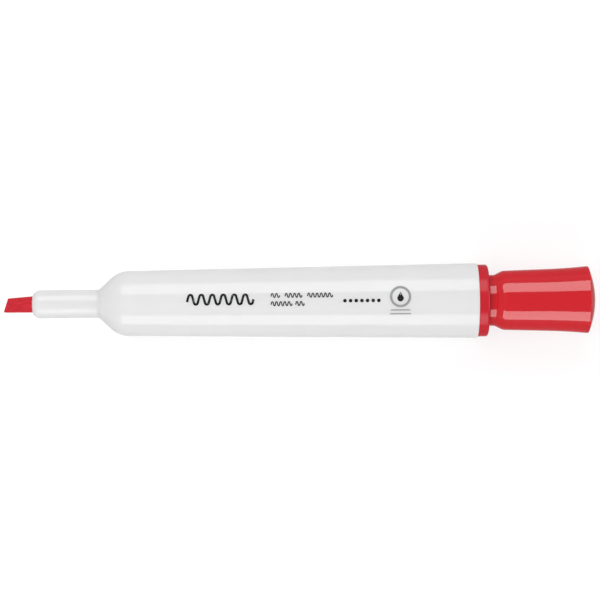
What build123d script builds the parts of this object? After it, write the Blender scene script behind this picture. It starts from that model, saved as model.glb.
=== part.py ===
"""Dry-erase felt tip marker with a chisel nib, drawn with its cap parked on the rear post.

Millimetres. X runs along the marker's axis, nib towards -X and cap towards +X. The origin is on the axis,
halfway between the nib's point and the end of the parked cap. The nib's broad face looks up, along +Z.
"""

from build123d import *

import math
import os

# Driving dimensions, from the nib backwards
NIB_DIAMETER = 3.9
NIB_STANDOUT = 6.9          # long point of the chisel to the front of the nose
NIB_SLANT = 1.1             # short point of the chisel sits this far behind the long one
NIB_BEVEL_LENGTH = 4.7      # long point back to where the two broad faces start
NIB_EDGE_THICKNESS = 1.1    # thickness left at the chisel's edge
NIB_LONG_POINT_Y = -1.85
NIB_SHORT_POINT_Y = 1.47
NIB_CHEEK_LENGTH = 0.8      # the long point's outer corner is ground off over this length
NIB_TAIL_IN_RESERVOIR = 7.0

NOSE_DIAMETER = 6.74
NOSE_LENGTH = 15.97
NOSE_FRONT_ROUND = 1.9
NOSE_LIP_RADIUS = 2.08      # the hole that the nib comes out of
NOSE_LIP_LENGTH = 2.0
NOSE_BORE_RADIUS = 2.45

BODY_LENGTH = 90.63         # root of the nose to the rear rim
REAR_DIAMETER = 18.0
TAPER_DEG = 0.82            # each side of the barrel to its axis
SHOULDER_DEG = 43.5         # cone between nose and barrel
SHOULDER_ROUND = 6.5
SHOULDER_ROOT_ROUND = 0.8
REAR_RIM_ROUND = 0.25
BARREL_WALL = 1.2
RIB_PLATES = 3              # each plate across the axis makes two ribs
RIB_THICKNESS = 0.8

RESERVOIR_RADIUS = 5.3
RESERVOIR_FRONT_GAP = 7.6   # root of the nose to the front of the reservoir
FILM_THICKNESS = 0.15
BREATHER_OUTER_RADIUS = 0.6
BREATHER_BORE_RADIUS = 0.35
BREATHER_SET_BACK = 0.5     # shorter than the reservoir at each end
BREATHER_GAP = 0.02

PLUG_FLANGE_DIAMETER = 17.27
PLUG_FLANGE_THICKNESS = 2.5
PLUG_FLANGE_ROUND = 0.6
PLUG_FRONT_ROUND = 0.1
PLUG_LEAD_IN = 0.4
PLUG_SPIGOT_RADIUS = 7.75
PLUG_SPIGOT_LENGTH = 8.5
PLUG_SPIGOT_WALL = 1.2
PLUG_STOP_LENGTH = 10.0     # reach of the cross ribs that press on the reservoir
PLUG_STOP_RADIUS = 4.6
SNAP_BEAD_HEIGHT = 0.2
SNAP_BEAD_WIDTH = 1.2
SNAP_BEAD_FROM_RIM = 6.0
POST_LENGTH = 9.0
POST_END_ROUND = 0.7
POST_ROOT_ROUND = 0.2
POST_WALL = 1.1

CAP_LENGTH = 25.7
CAP_SEAT_GAP = 0.05         # running gap between the cap's mouth and the flange
CAP_COLLAR_RADIUS = 6.1
CAP_COLLAR_DRAFT = 0.05
CAP_COLLAR_LENGTH = 1.6
CAP_EDGE_ROUND = 0.3        # mouth edge, and the corner between collar and shoulder
CAP_SHOULDER_RADIUS = 7.13
CAP_SHOULDER_LENGTH = 1.95
CAP_SHOULDER_ROUND = 2.2
CAP_STRAIGHT_END = 14.5     # mouth to where the straight flare turns into the trumpet
CAP_STRAIGHT_END_RADIUS = 7.46
CAP_RIM_RADIUS = 8.09
CAP_RIM_ROUND = 0.3
CAP_END_SAGITTA = 1.7
CAP_END_WALL = 0.9
CAP_WALL = 1.1
CAP_RIB_THICKNESS = 0.9
GATE_DIMPLE_RADIUS = 0.9    # moulding gate in the middle of the closed end
GATE_DIMPLE_DEPTH = 0.25
GATE_STUB_RADIUS = 0.35

LINER_BORE_RADIUS = 3.42
LINER_WALL = 0.75
LINER_LENGTH = 23.85
LINER_END_WALL = 0.5
LINER_LEAD_IN = 0.25
LINER_FLANGE_RADIUS = 4.95
LINER_FLANGE_THICKNESS = 2.1
LINER_FLANGE_ROUND = 0.15
LINER_END_ROUND = 0.6
LINER_SNAP_HEIGHT = 0.2
LINER_SNAP_WIDTH = 0.6
LINER_SNAP_DEPTH = 1.1      # mouth to the middle of the snap bead
SEAL_BEAD_CLEARANCE = 0.015
SEAL_BEAD_WIDTH = 0.8
SEAL_BEAD_DEPTHS = (3.0, 6.5)
RUNNING_CLEARANCE = 0.05
PAST = 1.0                  # how far a cutting shape runs past the face it opens
EDGE_REACH = 0.01           # band that picks out one edge along the axis

# Stations along the axis
OVERALL_LENGTH = NIB_STANDOUT + NOSE_LENGTH + BODY_LENGTH + PLUG_FLANGE_THICKNESS + CAP_SEAT_GAP + CAP_LENGTH
TIP_X = -OVERALL_LENGTH / 2
NOSE_FRONT_X = TIP_X + NIB_STANDOUT
SHOULDER_ROOT_X = NOSE_FRONT_X + NOSE_LENGTH
REAR_X = SHOULDER_ROOT_X + BODY_LENGTH
FLANGE_BACK_X = REAR_X + PLUG_FLANGE_THICKNESS
POST_END_X = FLANGE_BACK_X + POST_LENGTH
MOUTH_X = FLANGE_BACK_X + CAP_SEAT_GAP
CAP_END_X = MOUTH_X + CAP_LENGTH
RESERVOIR_FRONT_X = SHOULDER_ROOT_X + RESERVOIR_FRONT_GAP
RESERVOIR_REAR_X = REAR_X - PLUG_STOP_LENGTH

NIB_RADIUS = NIB_DIAMETER / 2
NOSE_RADIUS = NOSE_DIAMETER / 2
TAPER = math.tan(math.radians(TAPER_DEG))
SHOULDER = math.tan(math.radians(SHOULDER_DEG))


def barrel_radius(x, wall=0.0):
    """Radius of the tapered barrel at a station, less a wall thickness."""
    return REAR_DIAMETER / 2 - (REAR_X - x) * TAPER - wall


def shoulder_meets_barrel(wall=0.0):
    """Station where the shoulder's cone reaches the barrel's taper, both taken in by a wall thickness."""
    root_radius = NOSE_RADIUS - wall / math.cos(math.radians(SHOULDER_DEG))
    rise = barrel_radius(SHOULDER_ROOT_X, wall) - root_radius
    return SHOULDER_ROOT_X + rise / (SHOULDER - TAPER)


def turned(*outline):
    """Solid of revolution about X from edges that run from axis to axis."""
    ends = [outline[0] @ 0, outline[-1] @ 1]
    return revolve(make_face(list(outline) + [Line(ends[1], ends[0])]), Axis.X)


def turned_corners(*corners):
    """Solid of revolution from corner points (station, radius), closed straight along the axis."""
    return revolve(make_face(Polyline(*corners, close=True)), Axis.X)


def disc(start, end, radius):
    """Plain cylinder on the axis between two stations."""
    return turned_corners((start, 0), (start, radius), (end, radius), (end, 0))


def ring_bead(middle, radius, height, width):
    """Rounded ring that stands proud of a cylinder by its height; a negative height stands inwards."""
    half = width / 2
    crest = ThreePointArc((middle - half, radius), (middle, radius + height), (middle + half, radius))
    root = Polyline(
        (middle + half, radius), (middle + half, radius - height),
        (middle - half, radius - height), (middle - half, radius),
    )
    return revolve(make_face([crest, root]), Axis.X)


def cross_plates(start, end, radius, thickness):
    """Plates across the axis, evenly turned, that become ribs."""
    plate = Pos((start + end) / 2, 0, 0) * Box(end - start, thickness, 2 * radius)
    turns = [Rot(90 + k * 180 / RIB_PLATES, 0, 0) * plate for k in range(RIB_PLATES)]
    return turns[0] + turns[1:]


def make_barrel(snap_bead):
    corner_x = shoulder_meets_barrel()
    outline = FilletPolyline(
        (NOSE_FRONT_X, 0),
        (NOSE_FRONT_X, NOSE_RADIUS),
        (SHOULDER_ROOT_X, NOSE_RADIUS),
        (corner_x, barrel_radius(corner_x)),
        (REAR_X, REAR_DIAMETER / 2),
        (REAR_X, 0),
        radius=[NOSE_FRONT_ROUND, SHOULDER_ROOT_ROUND, SHOULDER_ROUND, REAR_RIM_ROUND],
    )
    outside = turned(*outline.edges())
    inner_x = shoulder_meets_barrel(BARREL_WALL)
    socket_x = REAR_X - PLUG_SPIGOT_LENGTH
    cone_start_radius = NOSE_BORE_RADIUS
    cone_start_x = inner_x - (barrel_radius(inner_x, BARREL_WALL) - cone_start_radius) / SHOULDER
    cavity = turned_corners(
        (NOSE_FRONT_X - PAST, 0),
        (NOSE_FRONT_X - PAST, NOSE_LIP_RADIUS),
        (NOSE_FRONT_X + NOSE_LIP_LENGTH, NOSE_LIP_RADIUS),
        (NOSE_FRONT_X + NOSE_LIP_LENGTH, NOSE_BORE_RADIUS),
        (cone_start_x, cone_start_radius),
        (inner_x, barrel_radius(inner_x, BARREL_WALL)),
        (socket_x, barrel_radius(socket_x, BARREL_WALL)),
        (socket_x, PLUG_SPIGOT_RADIUS),
        (REAR_X + PAST, PLUG_SPIGOT_RADIUS),
        (REAR_X + PAST, 0),
    )
    rib_start = NOSE_FRONT_X + NOSE_LIP_LENGTH
    rib_end = RESERVOIR_REAR_X - PAST
    ribs = cross_plates(rib_start, rib_end, REAR_DIAMETER / 2, RIB_THICKNESS) & cavity
    ribs -= disc(rib_start, RESERVOIR_FRONT_X, NIB_RADIUS)
    ribs -= disc(RESERVOIR_FRONT_X, rib_end, RESERVOIR_RADIUS)
    return (outside - cavity + ribs) - snap_bead


def make_nib():
    tail_x = RESERVOIR_FRONT_X + NIB_TAIL_IN_RESERVOIR
    rod = disc(TIP_X, tail_x, NIB_RADIUS)
    side_view = Polyline(
        (TIP_X, NIB_LONG_POINT_Y),
        (TIP_X + NIB_SLANT, NIB_SHORT_POINT_Y),
        (NOSE_FRONT_X, NIB_RADIUS),
        (tail_x, NIB_RADIUS),
        (tail_x, -NIB_RADIUS),
        (TIP_X + NIB_CHEEK_LENGTH, -NIB_RADIUS),
        close=True,
    )
    edge_view = Polyline(
        (TIP_X, NIB_EDGE_THICKNESS / 2),
        (TIP_X + NIB_BEVEL_LENGTH, NIB_RADIUS),
        (tail_x, NIB_RADIUS),
        (tail_x, -NIB_RADIUS),
        (TIP_X + NIB_BEVEL_LENGTH, -NIB_RADIUS),
        (TIP_X, -NIB_EDGE_THICKNESS / 2),
        close=True,
    )
    slanted = extrude(make_face(side_view), NIB_DIAMETER, both=True)
    bevelled = extrude(Plane.XZ * make_face(edge_view), NIB_DIAMETER, both=True)
    return rod & slanted & bevelled


def make_reservoir_core():
    core = disc(RESERVOIR_FRONT_X, RESERVOIR_REAR_X, RESERVOIR_RADIUS - FILM_THICKNESS)
    return core - disc(RESERVOIR_FRONT_X - PAST, RESERVOIR_FRONT_X + NIB_TAIL_IN_RESERVOIR, NIB_RADIUS)


def make_reservoir_wrap():
    sleeve = disc(RESERVOIR_FRONT_X, RESERVOIR_REAR_X, RESERVOIR_RADIUS)
    return sleeve - disc(RESERVOIR_FRONT_X - PAST, RESERVOIR_REAR_X + PAST, RESERVOIR_RADIUS - FILM_THICKNESS)


def make_breather_tube():
    start = RESERVOIR_FRONT_X + BREATHER_SET_BACK
    end = RESERVOIR_REAR_X - BREATHER_SET_BACK
    tube = disc(start, end, BREATHER_OUTER_RADIUS) - disc(start - PAST, end + PAST, BREATHER_BORE_RADIUS)
    return Pos(0, 0, RESERVOIR_RADIUS + BREATHER_OUTER_RADIUS + BREATHER_GAP) * tube


def make_rear_plug(snap_bead):
    outline = FilletPolyline(
        (REAR_X - PLUG_SPIGOT_LENGTH, 0),
        (REAR_X - PLUG_SPIGOT_LENGTH, PLUG_SPIGOT_RADIUS),
        (REAR_X, PLUG_SPIGOT_RADIUS),
        radius=[PLUG_LEAD_IN],
    )
    flange = FilletPolyline(
        (REAR_X, PLUG_SPIGOT_RADIUS),
        (REAR_X, PLUG_FLANGE_DIAMETER / 2),
        (FLANGE_BACK_X, PLUG_FLANGE_DIAMETER / 2),
        (FLANGE_BACK_X, NOSE_RADIUS),
        (POST_END_X, NOSE_RADIUS),
        (POST_END_X, 0),
        radius=[PLUG_FRONT_ROUND, PLUG_FLANGE_ROUND, POST_ROOT_ROUND, POST_END_ROUND],
    )
    plug = turned(*outline.edges(), *flange.edges())
    plug -= disc(REAR_X - PLUG_SPIGOT_LENGTH - PAST, REAR_X, PLUG_SPIGOT_RADIUS - PLUG_SPIGOT_WALL)
    plug -= disc(REAR_X - PAST, POST_END_X - POST_WALL, NOSE_RADIUS - POST_WALL)
    spigot_inner = PLUG_SPIGOT_RADIUS - PLUG_SPIGOT_WALL
    front_x = REAR_X - PLUG_SPIGOT_LENGTH
    cross = cross_plates(front_x, REAR_X, spigot_inner, RIB_THICKNESS) & disc(front_x, REAR_X, spigot_inner)
    reach = cross_plates(RESERVOIR_REAR_X, front_x, PLUG_STOP_RADIUS, RIB_THICKNESS)
    cross += reach & disc(RESERVOIR_REAR_X, front_x, PLUG_STOP_RADIUS)
    cross -= disc(RESERVOIR_REAR_X - PAST, REAR_X + PAST, NOSE_RADIUS - POST_WALL)
    return plug + cross + snap_bead


def make_cap_shell():
    shoulder_x = MOUTH_X + CAP_COLLAR_LENGTH
    barrel_x = shoulder_x + CAP_SHOULDER_LENGTH
    straight_end = (MOUTH_X + CAP_STRAIGHT_END, CAP_STRAIGHT_END_RADIUS)
    rim_x = CAP_END_X - CAP_END_SAGITTA
    front = FilletPolyline(
        (MOUTH_X, 0),
        (MOUTH_X, CAP_COLLAR_RADIUS),
        (shoulder_x, CAP_COLLAR_RADIUS + CAP_COLLAR_DRAFT),
        (barrel_x, CAP_SHOULDER_RADIUS),
        straight_end,
        radius=[CAP_EDGE_ROUND, CAP_EDGE_ROUND, CAP_SHOULDER_ROUND],
    )
    trumpet = TangentArc(straight_end, (rim_x, CAP_RIM_RADIUS), tangent=front % 1)
    end_half = ThreePointArc((rim_x, CAP_RIM_RADIUS), (CAP_END_X, 0), (rim_x, -CAP_RIM_RADIUS)).trim(0, 0.5)
    outside = turned(*front.edges(), trumpet, end_half)
    rim = outside.edges().filter_by_position(Axis.X, rim_x - EDGE_REACH, rim_x + EDGE_REACH)
    outside = fillet(rim, CAP_RIM_ROUND)

    sleeve_radius = LINER_FLANGE_RADIUS + RUNNING_CLEARANCE
    seat_x = MOUTH_X + LINER_FLANGE_THICKNESS + RUNNING_CLEARANCE
    inner_rim_x = rim_x - CAP_END_WALL
    inner_arc = ThreePointArc(
        (inner_rim_x, CAP_RIM_RADIUS - CAP_WALL),
        (CAP_END_X - CAP_END_WALL, 0),
        (inner_rim_x, -CAP_RIM_RADIUS + CAP_WALL),
    ).trim(0, 0.5)
    inner_front = Polyline(
        (MOUTH_X - PAST, 0),
        (MOUTH_X - PAST, sleeve_radius),
        (seat_x, sleeve_radius),
        (barrel_x + CAP_WALL / 2, CAP_SHOULDER_RADIUS - CAP_WALL),
        (straight_end[0], CAP_STRAIGHT_END_RADIUS - CAP_WALL),
        (inner_rim_x, CAP_RIM_RADIUS - CAP_WALL),
    )
    cavity = turned(*inner_front.edges(), inner_arc)
    ribs = cross_plates(seat_x, CAP_END_X, CAP_RIM_RADIUS, CAP_RIB_THICKNESS) & cavity
    ribs -= disc(seat_x - PAST, CAP_END_X, LINER_BORE_RADIUS + LINER_WALL + RUNNING_CLEARANCE)
    groove = ring_bead(
        MOUTH_X + LINER_SNAP_DEPTH, sleeve_radius, LINER_SNAP_HEIGHT, LINER_SNAP_WIDTH + 2 * RUNNING_CLEARANCE
    )
    gate = disc(CAP_END_X - GATE_DIMPLE_DEPTH, CAP_END_X + PAST, GATE_DIMPLE_RADIUS)
    gate -= disc(CAP_END_X - GATE_DIMPLE_DEPTH, CAP_END_X - GATE_DIMPLE_DEPTH / 2, GATE_STUB_RADIUS)
    return outside - cavity + ribs - groove - gate


def make_cap_liner():
    outer_radius = LINER_BORE_RADIUS + LINER_WALL
    front_x = MOUTH_X + RUNNING_CLEARANCE
    flange_back_x = MOUTH_X + LINER_FLANGE_THICKNESS
    end_x = MOUTH_X + LINER_LENGTH
    outline = FilletPolyline(
        (front_x, 0),
        (front_x, LINER_FLANGE_RADIUS),
        (flange_back_x, LINER_FLANGE_RADIUS),
        (flange_back_x, outer_radius),
        (end_x, outer_radius),
        (end_x, 0),
        radius=[LINER_FLANGE_ROUND, LINER_FLANGE_ROUND, RUNNING_CLEARANCE, LINER_END_ROUND],
    )
    cup = turned(*outline.edges())
    bore_end = end_x - LINER_END_WALL
    cup -= turned_corners(
        (front_x - PAST, 0),
        (front_x - PAST, LINER_BORE_RADIUS + LINER_LEAD_IN + PAST),
        (front_x + LINER_LEAD_IN, LINER_BORE_RADIUS),
        (bore_end, LINER_BORE_RADIUS),
        (bore_end, 0),
    )
    cup += ring_bead(MOUTH_X + LINER_SNAP_DEPTH, LINER_FLANGE_RADIUS, LINER_SNAP_HEIGHT, LINER_SNAP_WIDTH)
    for depth in SEAL_BEAD_DEPTHS:
        height = LINER_BORE_RADIUS - NOSE_RADIUS - SEAL_BEAD_CLEARANCE
        cup += ring_bead(MOUTH_X + depth, LINER_BORE_RADIUS, -height, SEAL_BEAD_WIDTH)
    return cup


snap_bead = ring_bead(REAR_X - SNAP_BEAD_FROM_RIM, PLUG_SPIGOT_RADIUS, SNAP_BEAD_HEIGHT, SNAP_BEAD_WIDTH)
pieces = {
    "barrel": make_barrel(snap_bead),
    "nib": make_nib(),
    "reservoir_core": make_reservoir_core(),
    "reservoir_wrap": make_reservoir_wrap(),
    "breather_tube": make_breather_tube(),
    "rear_plug": make_rear_plug(snap_bead),
    "cap_shell": make_cap_shell(),
    "cap_liner": make_cap_liner(),
}

os.makedirs("parts", exist_ok=True)
for name, piece in pieces.items():
    export_step(piece, f"parts/{name}.step")
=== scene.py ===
"""Looks of the felt tip marker: white barrel with its print, felt nib, red rear plug and the red parked cap.

Everything is in metres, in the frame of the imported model: X along the axis, nib towards -X, +Z up.
"""

import math

import bpy
from mathutils import Matrix, Vector


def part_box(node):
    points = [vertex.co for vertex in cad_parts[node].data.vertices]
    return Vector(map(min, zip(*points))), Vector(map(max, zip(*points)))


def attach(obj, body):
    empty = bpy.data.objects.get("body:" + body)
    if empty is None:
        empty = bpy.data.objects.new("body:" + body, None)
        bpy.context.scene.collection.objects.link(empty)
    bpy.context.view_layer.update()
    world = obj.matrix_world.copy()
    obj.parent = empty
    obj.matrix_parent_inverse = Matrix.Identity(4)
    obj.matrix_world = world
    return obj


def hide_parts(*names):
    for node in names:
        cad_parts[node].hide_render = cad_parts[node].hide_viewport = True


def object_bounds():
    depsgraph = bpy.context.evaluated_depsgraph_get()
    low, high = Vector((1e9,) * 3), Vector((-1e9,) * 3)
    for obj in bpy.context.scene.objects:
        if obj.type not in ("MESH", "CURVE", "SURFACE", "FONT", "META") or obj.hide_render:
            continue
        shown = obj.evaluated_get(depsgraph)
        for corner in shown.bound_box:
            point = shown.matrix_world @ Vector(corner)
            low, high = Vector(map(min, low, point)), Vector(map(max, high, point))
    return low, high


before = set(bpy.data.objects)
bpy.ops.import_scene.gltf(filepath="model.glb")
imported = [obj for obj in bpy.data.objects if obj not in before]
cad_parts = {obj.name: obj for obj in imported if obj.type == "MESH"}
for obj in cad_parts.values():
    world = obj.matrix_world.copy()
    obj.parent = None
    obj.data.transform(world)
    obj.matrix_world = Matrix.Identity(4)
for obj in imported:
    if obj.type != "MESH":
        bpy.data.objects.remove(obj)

cad_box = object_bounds()


# ---------------------------------------------------------------------------------------------------------
# Barrel. One injection moulding in white polypropylene: nose, shoulder and long tapered tube. The core is
# drawn out backwards, so it has no seam along it; six ribs inside leave faint sink lines in the gloss.
# ---------------------------------------------------------------------------------------------------------

MM = 0.001
MIX_A, MIX_B, MIX_RESULT = 6, 7, 2      # a Mix node's colour sockets, which share their names with others


def linear(hex_colour):
    """Linear RGBA from an sRGB hex colour."""
    channels = [int(hex_colour[i:i + 2], 16) / 255 for i in (1, 3, 5)]
    return [c / 12.92 if c <= 0.04045 else ((c + 0.055) / 1.055) ** 2.4 for c in channels] + [1.0]


def fill_sockets(tree, node, sockets):
    """Sets a node's inputs; one that is given another node's output is linked to it."""
    for name, value in sockets.items():
        if isinstance(value, bpy.types.NodeSocket):
            tree.links.new(value, node.inputs[name])
        else:
            node.inputs[name].default_value = value


def add_node(tree, kind, sockets=None, **settings):
    """One shader node with its settings and its inputs."""
    made = tree.nodes.new(kind)
    for name, value in settings.items():
        setattr(made, name, value)
    fill_sockets(tree, made, sockets or {})
    return made


def new_material(name):
    """A material with its node tree and its surface shader."""
    material = bpy.data.materials.new(name)
    material.use_nodes = True
    return material, material.node_tree, material.node_tree.nodes["Principled BSDF"]


def per(size_mm):
    """Noise scale that gives features of about this size."""
    return 1 / (size_mm * MM)


NOSE_LENGTH = 15.97 * MM
RIBS = 6

BARREL_WHITE = "#EAEAEA"
BARREL_SHADE = "#E6E6E6"
# The next colour is painted shade for the crease at the shoulder's root.
BARREL_CREASE_SHADE = "#D4D3D1"
BARREL_CLOUD_MM = 11.0          # slow change of pigment along the flow
BARREL_WAVE_MM = 16.0           # hardly seen waviness of the moulded skin
BARREL_WAVE_HEIGHT = 0.05       # heights of the bump are in millimetres
BARREL_GRAIN_MM = 0.5           # polished tool marks, coarser than the real 0.1 mm so that they show
BARREL_GRAIN_HEIGHT = 0.0006
RIB_SINK = -0.010
POLISHED_ROUGHNESS = 0.025

CREASE_REACH = 1.1 * MM         # painted shade reaches this far each side of the shoulder's root
# How strong the crease's painted shade is, and the size of the noise that breaks it up.
CREASE_SHADE_STRENGTH = 0.55
CREASE_NOISE_MM = 1.6

SCUFF_TURNS = (9, -23)          # degrees off the axis
SCUFF_LENGTH_MM = 14.0
SCUFF_WIDTH_MM = 0.35
SCUFF_HEIGHT = -0.0008
SCUFF_ROUGHNESS = 0.3

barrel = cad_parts["barrel"]
shoulder_root_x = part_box("barrel")[0].x + NOSE_LENGTH

# Moulded polypropylene from a polished tool: soft white with clear reflections whose edges are a little
# broken. The wall lets some light through, which shows as a bloom that lifts its shaded sides.
material, tree, surface = new_material("moulded_white_polypropylene")
coords = add_node(tree, "ShaderNodeTexCoord").outputs["Object"]
cloud = add_node(tree, "ShaderNodeTexNoise", {"Vector": coords, "Scale": per(BARREL_CLOUD_MM), "Detail": 3.0})
tint = add_node(tree, "ShaderNodeMix", {
    "Factor": cloud.outputs["Fac"], MIX_A: linear(BARREL_SHADE), MIX_B: linear(BARREL_WHITE)},
    data_type="RGBA")

# Painted shade in the crease between nose and shoulder: a darker grey laid over the white there, broken up by
# a fine noise.
point = add_node(tree, "ShaderNodeSeparateXYZ", {"Vector": coords})
from_root = add_node(tree, "ShaderNodeMath", {
    0: point.outputs["X"], 1: shoulder_root_x}, operation="SUBTRACT")
root_distance = add_node(tree, "ShaderNodeMath", {0: from_root.outputs[0]}, operation="ABSOLUTE")
crease = add_node(tree, "ShaderNodeMapRange", {
    "Value": root_distance.outputs[0], "From Min": 0.0, "From Max": CREASE_REACH,
    "To Min": CREASE_SHADE_STRENGTH, "To Max": 0.0})
crease_noise = add_node(tree, "ShaderNodeTexNoise", {"Vector": coords, "Scale": per(CREASE_NOISE_MM), "Detail": 4.0})
crease_shade = add_node(tree, "ShaderNodeMath", {0: crease.outputs[0], 1: crease_noise.outputs["Fac"]}, operation="MULTIPLY")
crease_shaded = add_node(tree, "ShaderNodeMix", {
    "Factor": crease_shade.outputs[0], MIX_A: tint.outputs[MIX_RESULT], MIX_B: linear(BARREL_CREASE_SHADE)},
    data_type="RGBA")

# Hairline scuffs from the pocket and the tray: long thin noise, kept only where it peaks, in a few patches.
scuffs = []
for turn in SCUFF_TURNS:
    laid = add_node(tree, "ShaderNodeMapping", {
        "Vector": coords, "Rotation": (math.radians(turn), 0, math.radians(turn)),
        "Scale": (per(SCUFF_LENGTH_MM), per(SCUFF_WIDTH_MM), per(SCUFF_WIDTH_MM))})
    hairs = add_node(tree, "ShaderNodeTexNoise", {"Vector": laid.outputs[0], "Scale": 1.0, "Detail": 1.0})
    scuffs.append(add_node(tree, "ShaderNodeMapRange", {
        "Value": hairs.outputs["Fac"], "From Min": 0.66, "From Max": 0.74}).outputs[0])
both_ways = add_node(tree, "ShaderNodeMath", {0: scuffs[0], 1: scuffs[1]}, operation="MAXIMUM")
patches = add_node(tree, "ShaderNodeMapRange", {
    "Value": cloud.outputs["Fac"], "From Min": 0.45, "From Max": 0.6})
scuffed = add_node(tree, "ShaderNodeMath", {
    0: both_ways.outputs[0], 1: patches.outputs[0]}, operation="MULTIPLY")
gloss = add_node(tree, "ShaderNodeMapRange", {
    "Value": scuffed.outputs[0], "To Min": POLISHED_ROUGHNESS, "To Max": SCUFF_ROUGHNESS})

# Sink lines: the skin dips a hundredth of a millimetre over each of the inner ribs.
around = add_node(tree, "ShaderNodeMath", {
    0: point.outputs["Y"], 1: point.outputs["Z"]}, operation="ARCTAN2")
ribs_around = add_node(tree, "ShaderNodeMath", {0: around.outputs[0], 1: float(RIBS)}, operation="MULTIPLY")
rib_beat = add_node(tree, "ShaderNodeMath", {0: ribs_around.outputs[0]}, operation="COSINE")
sink = add_node(tree, "ShaderNodeMapRange", {
    "Value": rib_beat.outputs[0], "From Min": -0.8, "From Max": -1.0, "To Min": 0.0, "To Max": RIB_SINK})
wave = add_node(tree, "ShaderNodeTexNoise", {"Vector": coords, "Scale": per(BARREL_WAVE_MM), "Detail": 1.0})
grain = add_node(tree, "ShaderNodeTexNoise", {"Vector": coords, "Scale": per(BARREL_GRAIN_MM), "Detail": 2.0})
waved = add_node(tree, "ShaderNodeMath", {
    0: wave.outputs["Fac"], 1: BARREL_WAVE_HEIGHT, 2: sink.outputs[0]}, operation="MULTIPLY_ADD")
grained = add_node(tree, "ShaderNodeMath", {
    0: grain.outputs["Fac"], 1: BARREL_GRAIN_HEIGHT, 2: waved.outputs[0]}, operation="MULTIPLY_ADD")
skin = add_node(tree, "ShaderNodeMath", {
    0: scuffed.outputs[0], 1: SCUFF_HEIGHT, 2: grained.outputs[0]}, operation="MULTIPLY_ADD")
bump = add_node(tree, "ShaderNodeBump", {"Height": skin.outputs[0], "Distance": MM, "Strength": 1.0})
fill_sockets(tree, surface, {
    "Base Color": crease_shaded.outputs[MIX_RESULT],
    "Roughness": gloss.outputs[0],
    "Normal": bump.outputs["Normal"],
    "IOR": 1.49,
    "Specular IOR Level": 0.5,
    "Subsurface Weight": 0.5,
    "Subsurface Radius": (1.0, 1.0, 1.0),
    "Subsurface Scale": 1.5 * MM,
    "Sheen Weight": 0.9,
    "Sheen Roughness": 0.4,
})
barrel.material_slots[0].material = material


# ---------------------------------------------------------------------------------------------------------
# Print. Pad-printed ink on the upper side of the barrel, two hundredths of a millimetre thick: wavy lines, a
# row of dots, and a ring with a drop over two thin rules. It holds no lettering.
# ---------------------------------------------------------------------------------------------------------

INK_BLACK = "#151517"
INK_GREY = "#9A9B9C"
INK_THIN_MM = 0.6               # size of the places where the ink came off the pad thinly
INK_THICKNESS = 0.02 * MM
INK_LIFT = 0.012 * MM
PRINT_HEIGHT = 12 * MM          # the flat artwork starts above the barrel and is pressed down onto it
TOLERANCE = 0.001 * MM          # what lies closer than this is at the same place

STROKE_SLOPE = math.radians(75)     # how steep a wavy line's straights are; its bends turn twice as far
STROKE_STEP = 0.4 * MM
BEND_STEPS = 7
BROAD_PEN = (0.45 * MM, 1.65 * MM, 0.56 * MM)       # radius of the bends, straight between them, width
FINE_PEN = (0.16 * MM, 0.7 * MM, 0.25 * MM)
BROAD_LINE = (-26.4 * MM, 0.5 * MM, 6)              # start along X, height in Y, number of waves
FINE_LINES = (
    (-6.6 * MM, 1.5 * MM, 2),
    (-3.3 * MM, 1.5 * MM, 4),
    (2.0 * MM, 1.5 * MM, 6),
    (-6.6 * MM, -0.45 * MM, 5),
    (-0.8 * MM, -0.45 * MM, 2),
)

DOTS = 7
DOTS_X = 10.8 * MM
DOTS_Y = 0.25 * MM
DOTS_STEP = 1.33 * MM
DOT_RADIUS = 0.42 * MM

RING_X = 23.9 * MM
RING_Y = 1.1 * MM
RING_RADIUS = 2.5 * MM
RING_WIDTH = 0.55 * MM
DROP_RADIUS = 0.75 * MM
DROP_POINT = 1.55 * MM          # from the middle of the drop's round end to its point
RULE_WIDTH = 0.26 * MM
RULES = (                       # start and end along X, height in Y
    (21.6 * MM, 26.2 * MM, -2.05 * MM),
    (21.4 * MM, 26.4 * MM, -2.95 * MM),
)


def wavy_line(x, y, waves, bend_radius, straight, width):
    """A line of even width: a square dab whose front edge is spun round each bend and drawn on between."""
    at = Vector((x, y, PRINT_HEIGHT))
    ahead = Vector((math.cos(STROKE_SLOPE), math.sin(STROKE_SLOPE), 0))
    bpy.ops.mesh.primitive_plane_add(size=width, location=at, rotation=(0, 0, STROKE_SLOPE))
    bpy.ops.object.transform_apply()
    dab = bpy.context.object
    bpy.ops.object.mode_set(mode="EDIT")
    bpy.ops.mesh.select_all(action="DESELECT")
    bpy.ops.object.mode_set(mode="OBJECT")
    for vertex in dab.data.vertices:
        vertex.select = (vertex.co - at).dot(ahead) > 0
    bpy.ops.object.mode_set(mode="EDIT")
    at += ahead * width / 2
    for half_wave in range(2 * waves + 1):
        run = straight if 0 < half_wave < 2 * waves else straight / 2
        steps = math.ceil(run / STROKE_STEP)
        for step in range(steps):
            bpy.ops.mesh.extrude_edges_move(TRANSFORM_OT_translate={"value": ahead * run / steps})
        at += ahead * run
        if half_wave < 2 * waves:
            turn = 2 * STROKE_SLOPE * (1 if half_wave % 2 else -1)
            centre = at + Vector((-ahead.y, ahead.x, 0)) * math.copysign(bend_radius, turn)
            bpy.ops.mesh.spin(steps=BEND_STEPS, angle=-turn, center=centre, axis=(0, 0, 1))
            swing = Matrix.Rotation(turn, 3, "Z")
            at = centre + swing @ (at - centre)
            ahead = swing @ ahead
    bpy.ops.object.mode_set(mode="OBJECT")
    return dab


def dot(x, y, radius):
    """A filled disc."""
    bpy.ops.mesh.primitive_circle_add(
        vertices=32, radius=radius, fill_type="TRIFAN", location=(x, y, PRINT_HEIGHT))
    bpy.ops.object.transform_apply()
    return bpy.context.object


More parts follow.
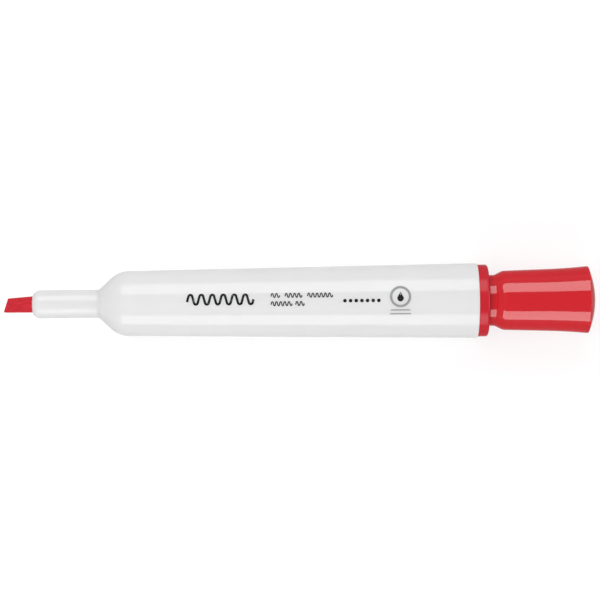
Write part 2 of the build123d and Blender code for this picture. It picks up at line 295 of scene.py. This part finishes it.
def drop(x, y, radius, point):
    """An ink drop: a disc whose top is pulled up to a point, the edge beside it following less and less."""
    made = dot(x, y - radius / 2, radius)
    top = y + radius / 2
    bpy.ops.object.mode_set(mode="EDIT")
    bpy.ops.mesh.select_all(action="DESELECT")
    bpy.ops.object.mode_set(mode="OBJECT")
    for vertex in made.data.vertices:
        vertex.select = vertex.co.y > top - TOLERANCE
    bpy.ops.object.mode_set(mode="EDIT")
    bpy.ops.transform.translate(
        value=(0, point - radius, 0), use_proportional_edit=True, proportional_edit_falloff="SHARP",
        proportional_size=radius)
    bpy.ops.object.mode_set(mode="OBJECT")
    return made


def ring(x, y, radius, width):
    """A flat ring: a circle whose edge is extruded and drawn in."""
    bpy.ops.mesh.primitive_circle_add(
        vertices=72, radius=radius, fill_type="NOTHING", location=(x, y, PRINT_HEIGHT))
    bpy.ops.object.mode_set(mode="EDIT")
    bpy.ops.mesh.extrude_edges_move()
    inner = (radius - width) / radius
    bpy.ops.transform.resize(value=(inner, inner, 1), center_override=(x, y, PRINT_HEIGHT))
    bpy.ops.object.mode_set(mode="OBJECT")
    bpy.ops.object.transform_apply()
    return bpy.context.object


def rule(start_x, end_x, y):
    """A thin straight line, divided along and across so that it can follow the barrel."""
    bpy.ops.mesh.primitive_grid_add(x_subdivisions=24, y_subdivisions=4, size=1)
    made = bpy.context.object
    made.scale = (end_x - start_x, RULE_WIDTH, 1)
    made.location = ((start_x + end_x) / 2, y, PRINT_HEIGHT)
    bpy.ops.object.transform_apply()
    return made


def pad_ink(name, colour):
    """Solvent pad-printing ink: nearly matt, with slightly thin places where the pad lifted."""
    material, tree, surface = new_material(name)
    coords = add_node(tree, "ShaderNodeTexCoord").outputs["Object"]
    thin = add_node(tree, "ShaderNodeTexNoise", {"Vector": coords, "Scale": per(INK_THIN_MM), "Detail": 5.0})
    bare = add_node(tree, "ShaderNodeMapRange", {
        "Value": thin.outputs["Fac"], "From Min": 0.6, "From Max": 0.8, "To Min": 0.0, "To Max": 0.35})
    shade = add_node(tree, "ShaderNodeMix", {
        "Factor": bare.outputs[0], MIX_A: linear(colour), MIX_B: linear(BARREL_SHADE)}, data_type="RGBA")
    rough = add_node(tree, "ShaderNodeMapRange", {
        "Value": thin.outputs["Fac"], "To Min": 0.35, "To Max": 0.6})
    fill_sockets(tree, surface, {
        "Base Color": shade.outputs[MIX_RESULT],
        "Roughness": rough.outputs[0],
        "Specular IOR Level": 0.3,
    })
    return material


def print_on_barrel(name, pieces, ink):
    """Joins flat pieces, presses them onto the barrel and gives the ink its thickness."""
    bpy.ops.object.select_all(action="DESELECT")
    for piece in pieces:
        piece.select_set(True)
    made = pieces[0]
    bpy.context.view_layer.objects.active = made
    bpy.ops.object.join()
    made.name = name
    press = made.modifiers.new("press", "SHRINKWRAP")
    press.target = barrel
    press.wrap_method = "PROJECT"
    press.offset = INK_LIFT
    press.use_project_z = True
    press.use_positive_direction = False
    press.use_negative_direction = True
    thick = made.modifiers.new("thick", "SOLIDIFY")
    thick.thickness = INK_THICKNESS
    thick.offset = 1
    for modifier in (press, thick):
        bpy.ops.object.modifier_apply(modifier=modifier.name)
    made.data.materials.clear()
    made.data.materials.append(ink)
    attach(made, "marker")


bpy.ops.object.select_all(action="DESELECT")
print_on_barrel("print_black", [
    wavy_line(*BROAD_LINE, *BROAD_PEN),
    *[wavy_line(*line, *FINE_PEN) for line in FINE_LINES],
    drop(RING_X, RING_Y, DROP_RADIUS, DROP_POINT),
    *[dot(DOTS_X + k * DOTS_STEP, DOTS_Y, DOT_RADIUS) for k in range(DOTS)],
], pad_ink("pad_print_ink_black", INK_BLACK))
print_on_barrel("print_grey", [
    ring(RING_X, RING_Y, RING_RADIUS, RING_WIDTH),
    *[rule(*ends_and_height) for ends_and_height in RULES],
], pad_ink("pad_print_ink_grey", INK_GREY))


# ---------------------------------------------------------------------------------------------------------
# Nib. A rod of bonded polyester fibre, its front ground to a slanted chisel and its tail pushed into the
# reservoir. It is soaked with red ink; the grinding leaves soft edges and fibre ends that stand a bit proud.
# ---------------------------------------------------------------------------------------------------------

NIB_EDGE_HALF = 0.55 * MM       # half the thickness left at the chisel's edge
NIB_BEVEL_LENGTH = 4.7 * MM
NIB_SLANT = 1.1 * MM
NIB_LONG_POINT_Y = -1.85 * MM
NIB_SHORT_POINT_Y = 1.47 * MM
NIB_CHEEK_LENGTH = 0.8 * MM     # the long point's outer corner is ground off over this length
NIB_EDGE_ROUND = 0.16 * MM
NIB_SKIN_VOXEL = 0.1 * MM

FELT_RED = "#CE2A35"
FELT_DARK = "#AD1C29"
FELT_LIGHT = "#DB4650"
FIBRE_LENGTH_MM = 2.2
FIBRE_WIDTH_MM = 0.16           # a real fibre is 0.03 mm; drawn coarser so that it shows
PORE_MM = 0.3                   # gaps between bundles of fibre, also coarser than real
PORE_SHARE = 0.35
LUMP_WIDTH_MM = 0.3
LUMP_HEIGHT = 0.035 * MM
LUMP_MIDDLE = 0.62              # above half, so that the lumps stay within the rod's size

nib_low, nib_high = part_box("nib")
nose_front_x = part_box("barrel")[0].x
nib_radius = (nib_high.z - nib_low.z) / 2
bpy.ops.object.select_all(action="DESELECT")
bpy.ops.mesh.primitive_cylinder_add(
    vertices=72, radius=nib_radius, depth=nib_high.x - nib_low.x, rotation=(0, math.radians(90), 0),
    location=((nib_low.x + nib_high.x) / 2, 0, 0))
bpy.ops.object.transform_apply()
nib = bpy.context.object
nib.name = "felt_nib"

# Five cuts, each given by a point on it and a direction out of the rod: two bevels, slant, side and cheek.
short_point = (nib_low.x + NIB_SLANT, NIB_SHORT_POINT_Y, 0)
long_point = (nib_low.x, NIB_LONG_POINT_Y, 0)
bevel_rise = nib_radius - NIB_EDGE_HALF
cuts = (
    ((nib_low.x, 0, NIB_EDGE_HALF), (-bevel_rise, 0, NIB_BEVEL_LENGTH)),
    ((nib_low.x, 0, -NIB_EDGE_HALF), (-bevel_rise, 0, -NIB_BEVEL_LENGTH)),
    (short_point, (-(NIB_SHORT_POINT_Y - NIB_LONG_POINT_Y), NIB_SLANT, 0)),
    (short_point, (-(nib_radius - NIB_SHORT_POINT_Y), nose_front_x - short_point[0], 0)),
    (long_point, (-(nib_radius + NIB_LONG_POINT_Y), -NIB_CHEEK_LENGTH, 0)),
)
bpy.ops.object.mode_set(mode="EDIT")
for on_cut, outward in cuts:
    bpy.ops.mesh.select_all(action="SELECT")
    bpy.ops.mesh.bisect(
        plane_co=on_cut, plane_no=Vector(outward).normalized(), use_fill=True, clear_outer=True,
        threshold=TOLERANCE)
bpy.ops.object.mode_set(mode="OBJECT")
rounding = nib.modifiers.new("ground_edges", "BEVEL")
rounding.width = NIB_EDGE_ROUND
rounding.segments = 3
rounding.limit_method = "ANGLE"
rounding.angle_limit = math.radians(20)
bpy.ops.object.modifier_apply(modifier=rounding.name)
skin = nib.modifiers.new("skin", "REMESH")
skin.mode = "VOXEL"
skin.voxel_size = NIB_SKIN_VOXEL
skin.use_smooth_shade = True
bpy.ops.object.modifier_apply(modifier=skin.name)

# Lumps along the fibres: clouds stretched down the rod by an empty that is there only while they are made.
bpy.ops.object.empty_add()
stretch = bpy.context.object
stretch.scale = (FIBRE_LENGTH_MM * MM, LUMP_WIDTH_MM * MM, LUMP_WIDTH_MM * MM)
bpy.context.view_layer.objects.active = nib
clouds = bpy.data.textures.new("felt_lumps", "CLOUDS")
clouds.noise_scale = 1.0
lumps = nib.modifiers.new("lumps", "DISPLACE")
lumps.texture = clouds
lumps.texture_coords = "OBJECT"
lumps.texture_coords_object = stretch
lumps.strength = LUMP_HEIGHT
lumps.mid_level = LUMP_MIDDLE
bpy.ops.object.modifier_apply(modifier=lumps.name)
bpy.data.objects.remove(stretch)

# Bonded polyester felt, wet with ink: deep red, matt, with lighter and darker fibres along the rod.
material, tree, surface = new_material("bonded_polyester_felt_red")
coords = add_node(tree, "ShaderNodeTexCoord").outputs["Object"]
along = add_node(tree, "ShaderNodeMapping", {
    "Vector": coords, "Scale": (per(FIBRE_LENGTH_MM), per(FIBRE_WIDTH_MM), per(FIBRE_WIDTH_MM))})
fibres = add_node(tree, "ShaderNodeTexNoise", {"Vector": along.outputs[0], "Scale": 1.0, "Detail": 4.0})
pores = add_node(tree, "ShaderNodeTexVoronoi", {"Vector": coords, "Scale": per(PORE_MM)}, feature="F1")
dark = add_node(tree, "ShaderNodeMapRange", {
    "Value": fibres.outputs["Fac"], "From Min": 0.5, "From Max": 0.3, "To Min": 0.0, "To Max": 0.8})
light = add_node(tree, "ShaderNodeMapRange", {
    "Value": fibres.outputs["Fac"], "From Min": 0.56, "From Max": 0.72, "To Min": 0.0, "To Max": 0.7})
shaded = add_node(tree, "ShaderNodeMix", {
    "Factor": dark.outputs[0], MIX_A: linear(FELT_RED), MIX_B: linear(FELT_DARK)}, data_type="RGBA")
lit = add_node(tree, "ShaderNodeMix", {
    "Factor": light.outputs[0], MIX_A: shaded.outputs[MIX_RESULT], MIX_B: linear(FELT_LIGHT)},
    data_type="RGBA")
rough = add_node(tree, "ShaderNodeMapRange", {"Value": fibres.outputs["Fac"], "To Min": 0.7, "To Max": 1.0})
depth = add_node(tree, "ShaderNodeMath", {
    0: pores.outputs["Distance"], 1: PORE_SHARE, 2: fibres.outputs["Fac"]}, operation="MULTIPLY_ADD")
bump = add_node(tree, "ShaderNodeBump", {"Height": depth.outputs[0], "Distance": 0.06 * MM, "Strength": 0.8})
fill_sockets(tree, surface, {
    "Base Color": lit.outputs[MIX_RESULT],
    "Roughness": rough.outputs[0],
    "Normal": bump.outputs["Normal"],
    "Specular IOR Level": 0.2,
    "Sheen Weight": 0.15,
    "Sheen Roughness": 0.5,
    "Sheen Tint": linear(FELT_LIGHT),
})
nib.data.materials.clear()
nib.data.materials.append(material)
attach(nib, "marker")
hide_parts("nib")


# ---------------------------------------------------------------------------------------------------------
# Reservoir. A bundle of polyester fibre in a film sleeve, with a thin breather tube beside it, all closed
# inside the barrel. The bundle is pushed in from behind over the nib's tail before the plug goes in.
# ---------------------------------------------------------------------------------------------------------

SOAKED_RED = "#8E1420"
SOAKED_PINK = "#C04A52"
THREAD_LENGTH_MM = 9.0
THREAD_WIDTH_MM = 0.35
THREAD_HEIGHT = 0.15 * MM

FILM_TINT = "#E8E6E2"
TUBE_WHITE = "#DEDDD6"
DRAWN_LINE_LENGTH_MM = 20.0
DRAWN_LINE_WIDTH_MM = 0.5
DRAWN_LINE_HEIGHT = 0.02 * MM

# Crimped polyester staple, soaked: dark red with paler dry threads along the bundle.
material, tree, surface = new_material("crimped_polyester_fibre_soaked")
coords = add_node(tree, "ShaderNodeTexCoord").outputs["Object"]
along = add_node(tree, "ShaderNodeMapping", {
    "Vector": coords, "Scale": (per(THREAD_LENGTH_MM), per(THREAD_WIDTH_MM), per(THREAD_WIDTH_MM))})
threads = add_node(tree, "ShaderNodeTexNoise", {"Vector": along.outputs[0], "Scale": 1.0, "Detail": 5.0})
wet = add_node(tree, "ShaderNodeMix", {
    "Factor": threads.outputs["Fac"], MIX_A: linear(SOAKED_RED), MIX_B: linear(SOAKED_PINK)},
    data_type="RGBA")
bump = add_node(tree, "ShaderNodeBump", {
    "Height": threads.outputs["Fac"], "Distance": THREAD_HEIGHT, "Strength": 0.7})
fill_sockets(tree, surface, {
    "Base Color": wet.outputs[MIX_RESULT],
    "Roughness": 0.8,
    "Normal": bump.outputs["Normal"],
})
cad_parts["reservoir_core"].material_slots[0].material = material

# Thin polypropylene film and extruded tube: milky, smooth, with drawing lines along their length.
for node_name, name, colour, roughness in (
    ("reservoir_wrap", "polypropylene_film_clear", FILM_TINT, 0.15),
    ("breather_tube", "extruded_polypropylene_natural", TUBE_WHITE, 0.4),
):
    material, tree, surface = new_material(name)
    coords = add_node(tree, "ShaderNodeTexCoord").outputs["Object"]
    drawn = add_node(tree, "ShaderNodeMapping", {
        "Vector": coords,
        "Scale": (per(DRAWN_LINE_LENGTH_MM), per(DRAWN_LINE_WIDTH_MM), per(DRAWN_LINE_WIDTH_MM))})
    lines = add_node(tree, "ShaderNodeTexNoise", {"Vector": drawn.outputs[0], "Scale": 1.0, "Detail": 2.0})
    shade = add_node(tree, "ShaderNodeMix", {
        "Factor": lines.outputs["Fac"], MIX_A: linear(colour), MIX_B: linear(BARREL_WHITE)},
        data_type="RGBA")
    bump = add_node(tree, "ShaderNodeBump", {
        "Height": lines.outputs["Fac"], "Distance": DRAWN_LINE_HEIGHT, "Strength": 0.5})
    fill_sockets(tree, surface, {
        "Base Color": shade.outputs[MIX_RESULT],
        "Roughness": roughness,
        "Normal": bump.outputs["Normal"],
    })
    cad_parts[node_name].material_slots[0].material = material


# ---------------------------------------------------------------------------------------------------------
# Rear plug. A red polypropylene moulding snapped into the back of the barrel for good. Its flange shows as a
# ring behind the barrel, and its post carries the parked cap.
# ---------------------------------------------------------------------------------------------------------

PLUG_REDS = ("#C6222F", "#CC2431")
PLUG_FLOW_MM = 4.0
PLUG_FLANGE_THICKNESS = 2.5 * MM
PLUG_WORN_BACK = 0.6 * MM       # how far the worn edge reaches in from the flange's back and from its rim
PLUG_WORN_DEPTH = 0.4 * MM
PLUG_ROUGHNESS = 0.22
PLUG_SPECULAR = 0.3

RED_WORN = "#D24A50"
WORN_ROUGHNESS = 0.5
WORN_FADE_ALONG = 0.5 * MM
WORN_FADE_INWARDS = 0.3 * MM
NICK_MM = 0.7
RED_SKIN_MM = 7.0               # slow waviness of the moulded skin
RED_SKIN_HEIGHT = 0.03 * MM


def red_moulding(name, reds, flow_mm, worn_from_x, worn_from_radius, roughness, specular):
    """Masterbatch-red polypropylene: even, glossy, with slow flow marks and a paler scuffed edge."""
    material, tree, surface = new_material(name)
    coords = add_node(tree, "ShaderNodeTexCoord").outputs["Object"]
    point = add_node(tree, "ShaderNodeSeparateXYZ", {"Vector": coords})
    flow = add_node(tree, "ShaderNodeTexNoise", {
        "Vector": coords, "Scale": per(flow_mm), "Detail": 3.0, "Distortion": 0.6})
    tint = add_node(tree, "ShaderNodeMix", {
        "Factor": flow.outputs["Fac"], MIX_A: linear(reds[0]), MIX_B: linear(reds[1])}, data_type="RGBA")
    across = add_node(tree, "ShaderNodeCombineXYZ", {"Y": point.outputs["Y"], "Z": point.outputs["Z"]})
    radius = add_node(tree, "ShaderNodeVectorMath", {0: across.outputs[0]}, operation="LENGTH")
    near_end = add_node(tree, "ShaderNodeMapRange", {
        "Value": point.outputs["X"], "From Min": worn_from_x, "From Max": worn_from_x + WORN_FADE_ALONG})
    edge = add_node(tree, "ShaderNodeMapRange", {
        "Value": radius.outputs["Value"],
        "From Min": worn_from_radius, "From Max": worn_from_radius + WORN_FADE_INWARDS,
        "To Max": near_end.outputs[0]})
    nicks = add_node(tree, "ShaderNodeTexNoise", {"Vector": coords, "Scale": per(NICK_MM), "Detail": 4.0})
    kept = add_node(tree, "ShaderNodeMapRange", {
        "Value": nicks.outputs["Fac"], "From Min": 0.52, "From Max": 0.7, "To Min": 0.0, "To Max": 0.35})
    worn = add_node(tree, "ShaderNodeMath", {0: edge.outputs[0], 1: kept.outputs[0]}, operation="MULTIPLY")
    colour = add_node(tree, "ShaderNodeMix", {
        "Factor": worn.outputs[0], MIX_A: tint.outputs[MIX_RESULT], MIX_B: linear(RED_WORN)},
        data_type="RGBA")
    gloss = add_node(tree, "ShaderNodeMapRange", {
        "Value": worn.outputs[0], "To Min": roughness, "To Max": WORN_ROUGHNESS})
    skin = add_node(tree, "ShaderNodeTexNoise", {"Vector": coords, "Scale": per(RED_SKIN_MM), "Detail": 1.0})
    bump = add_node(tree, "ShaderNodeBump", {
        "Height": skin.outputs["Fac"], "Distance": RED_SKIN_HEIGHT, "Strength": 1.0})
    fill_sockets(tree, surface, {
        "Base Color": colour.outputs[MIX_RESULT],
        "Roughness": gloss.outputs[0],
        "Normal": bump.outputs["Normal"],
        "IOR": 1.5,
        "Specular IOR Level": specular,
    })
    return material


plug_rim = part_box("rear_plug")[1].z
flange_back_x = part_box("barrel")[1].x + PLUG_FLANGE_THICKNESS
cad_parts["rear_plug"].material_slots[0].material = red_moulding(
    "moulded_red_polypropylene_plug", PLUG_REDS, PLUG_FLOW_MM,
    flange_back_x - PLUG_WORN_BACK, plug_rim - PLUG_WORN_DEPTH, PLUG_ROUGHNESS, PLUG_SPECULAR)


# ---------------------------------------------------------------------------------------------------------
# Cap liner. A soft cup of natural polyethylene snapped into the cap's mouth. It seals round the nose, and it
# is what grips the post while the cap is parked. Only its rim can be seen, once the cap is off.
# ---------------------------------------------------------------------------------------------------------

LINER_MILK = "#E6E4DC"
LINER_INKED = "#D98A8C"
LINER_STAIN_MM = 3.0
LINER_SKIN_HEIGHT = 0.02 * MM

# Natural polyethylene: waxy, milky, low gloss, with a pink ink stain where the nib has touched it.
material, tree, surface = new_material("moulded_natural_polyethylene")
coords = add_node(tree, "ShaderNodeTexCoord").outputs["Object"]
stain = add_node(tree, "ShaderNodeTexNoise", {"Vector": coords, "Scale": per(LINER_STAIN_MM), "Detail": 4.0})
pink = add_node(tree, "ShaderNodeMapRange", {
    "Value": stain.outputs["Fac"], "From Min": 0.52, "From Max": 0.75, "To Min": 0.0, "To Max": 0.5})
waxy = add_node(tree, "ShaderNodeMix", {
    "Factor": pink.outputs[0], MIX_A: linear(LINER_MILK), MIX_B: linear(LINER_INKED)}, data_type="RGBA")
bump = add_node(tree, "ShaderNodeBump", {
    "Height": stain.outputs["Fac"], "Distance": LINER_SKIN_HEIGHT, "Strength": 0.6})
fill_sockets(tree, surface, {
    "Base Color": waxy.outputs[MIX_RESULT],
    "Roughness": 0.45,
    "Normal": bump.outputs["Normal"],
    "IOR": 1.51,
})
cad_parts["cap_liner"].material_slots[0].material = material


# ---------------------------------------------------------------------------------------------------------
# Cap shell. A red polypropylene moulding: narrow mouth collar, conical shoulder and a flared, trumpet-like
# skirt with a domed closed end. It is a push fit, with no clip and no seam that shows.
# ---------------------------------------------------------------------------------------------------------

CAP_REDS = ("#D01926", "#D61B27")
CAP_FLOW_MM = 6.0
CAP_WORN_BACK = 2.4 * MM        # how far the worn edge reaches in from the closed end and from the rim
CAP_WORN_DEPTH = 0.5 * MM
CAP_ROUGHNESS = 0.07
CAP_SPECULAR = 0.8

cap_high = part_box("cap_shell")[1]
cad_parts["cap_shell"].material_slots[0].material = red_moulding(
    "moulded_red_polypropylene_cap", CAP_REDS, CAP_FLOW_MM,
    cap_high.x - CAP_WORN_BACK, cap_high.z - CAP_WORN_DEPTH, CAP_ROUGHNESS, CAP_SPECULAR)


# ---------------------------------------------------------------------------------------------------------
# Table, lights and camera. A plain white table in a pale room. Two long softboxes, one each side of the
# marker, give the two bands of gloss along it, and two weak fills open the shade. The camera looks down.
# ---------------------------------------------------------------------------------------------------------

TABLE_SIZE = 4.0
TABLE_GREY = "#F5F5F5"          # the paper as the marker is lit by it
TABLE_PALE = "#F9F9F9"
TABLE_MOTTLE_MM = 40.0
TABLE_GLOW = 0.7                # the paper as the camera sees it: an even glow with thin shadows
TABLE_SHADOW = "#A0A0A0"

ROOM_SEEN = "#E7E7E7"
ROOM_LIGHT = (                  # share of the way from straight down to straight up, brightness
    (0.0, 0.95), (0.03, 0.5), (0.07, 0.28), (0.16, 0.2), (0.4, 0.22), (0.5, 0.35), (1.0, 0.22),
)

SOFTBOXES = (("softbox_far", 49.7), ("softbox_near", -61.0))    # name, degrees from straight up towards +Y
SOFTBOX_DISTANCE = 0.6
SOFTBOX_X = -0.09
SOFTBOX_LENGTH = 0.58
SOFTBOX_HALF_ANGLE = 18.5       # half the width as the marker sees it, in degrees
SOFTBOX_RADIANCE = 2.6
FILL_SIZE = 0.3
FILLS = (                       # name, place, watts, whether gloss shows it
    ("overhead_fill", (-0.18, 0, 0.48), 0.72, False),
    ("end_fill", (0.4, 0, 0.16), 0.42, True),
)

CAMERA_X = 0.2 * MM
CAMERA_Y = 0.5 * MM
CAMERA_HEIGHT = 0.48
CAMERA_ROLL = 0.5
CAMERA_LENS = 120

bpy.ops.object.select_all(action="DESELECT")
bpy.ops.mesh.primitive_grid_add(
    x_subdivisions=8, y_subdivisions=8, size=TABLE_SIZE, location=(0, 0, cad_box[0].z))
table = bpy.context.object
table.name = "table"

# White paper: quite matt. The camera sees it nearly blown out; all other light meets plain pale paper. Gloss
# doesn't meet it at all, so what a low reflection shows is the lower half of the room.
material, tree, surface = new_material("white_paper_sweep")
coords = add_node(tree, "ShaderNodeTexCoord").outputs["Object"]
mottle = add_node(tree, "ShaderNodeTexNoise", {
    "Vector": coords, "Scale": per(TABLE_MOTTLE_MM), "Detail": 2.0})
pale = add_node(tree, "ShaderNodeMix", {
    "Factor": mottle.outputs["Fac"], MIX_A: linear(TABLE_GREY), MIX_B: linear(TABLE_PALE)}, data_type="RGBA")
paper = add_node(tree, "ShaderNodeBsdfDiffuse", {"Color": pale.outputs[MIX_RESULT]})
thin_shadow = add_node(tree, "ShaderNodeBsdfDiffuse", {"Color": linear(TABLE_SHADOW)})
glow = add_node(tree, "ShaderNodeEmission", {"Strength": TABLE_GLOW})
blown_out = add_node(tree, "ShaderNodeAddShader", {0: glow.outputs[0], 1: thin_shadow.outputs[0]})
ray = add_node(tree, "ShaderNodeLightPath")
glow_or_paper = add_node(tree, "ShaderNodeMixShader", {
    0: ray.outputs["Is Camera Ray"], 1: paper.outputs[0], 2: blown_out.outputs[0]})
fill_sockets(tree, tree.nodes["Material Output"], {"Surface": glow_or_paper.outputs[0]})
tree.nodes.remove(surface)
table.data.materials.append(material)
table.visible_glossy = False

# The room: soft grey from above, paler at the horizon and below the marker. The camera sees one plain grey.
world = bpy.data.worlds.new("pale_room")
bpy.context.scene.world = world
world.use_nodes = True
tree = world.node_tree
direction = add_node(tree, "ShaderNodeTexCoord").outputs["Generated"]
split = add_node(tree, "ShaderNodeSeparateXYZ", {"Vector": direction})
steepness = add_node(tree, "ShaderNodeMapRange", {"Value": split.outputs["Z"], "From Min": -1.0})
sky = add_node(tree, "ShaderNodeValToRGB", {"Fac": steepness.outputs[0]})
for share, _ in ROOM_LIGHT[1:-1]:
    sky.color_ramp.elements.new(share)
for stop, (share, level) in zip(sky.color_ramp.elements, ROOM_LIGHT):
    stop.position = share
    stop.color = (level, level, level, 1)
ray = add_node(tree, "ShaderNodeLightPath")
room = add_node(tree, "ShaderNodeMix", {
    "Factor": ray.outputs["Is Camera Ray"], MIX_A: sky.outputs["Color"], MIX_B: linear(ROOM_SEEN)},
    data_type="RGBA")
fill_sockets(tree, tree.nodes["Background"], {"Color": room.outputs[MIX_RESULT]})


def hang_light(name, place, turn, size, watts, in_gloss):
    """A rectangular area light that the camera doesn't see."""
    lamp = bpy.data.lights.new(name, "AREA")
    lamp.shape = "RECTANGLE"
    lamp.size, lamp.size_y = size
    lamp.energy = watts
    placed = bpy.data.objects.new(name, lamp)
    bpy.context.scene.collection.objects.link(placed)
    placed.location = place
    placed.rotation_euler = turn
    placed.visible_glossy = in_gloss
    placed.visible_camera = False


softbox_width = 2 * SOFTBOX_DISTANCE * math.tan(math.radians(SOFTBOX_HALF_ANGLE))
softbox_watts = SOFTBOX_RADIANCE * math.pi * SOFTBOX_LENGTH * softbox_width
for name, degrees in SOFTBOXES:
    lean = math.radians(degrees)
    place = (SOFTBOX_X, SOFTBOX_DISTANCE * math.sin(lean), SOFTBOX_DISTANCE * math.cos(lean))
    hang_light(name, place, (-lean, 0, 0), (SOFTBOX_LENGTH, softbox_width), softbox_watts, True)
for name, place, watts, in_gloss in FILLS:
    towards_marker = (-Vector(place)).to_track_quat("-Z", "Y").to_euler()
    hang_light(name, place, towards_marker, (FILL_SIZE, FILL_SIZE), watts, in_gloss)

camera = bpy.data.objects.new("camera", bpy.data.cameras.new("camera"))
bpy.context.scene.collection.objects.link(camera)
camera.location = (CAMERA_X, CAMERA_Y, CAMERA_HEIGHT)
camera.rotation_euler = (0, 0, -math.radians(CAMERA_ROLL))
camera.data.lens = CAMERA_LENS
bpy.context.scene.camera = camera
bpy.context.scene.view_settings.view_transform = "Standard"
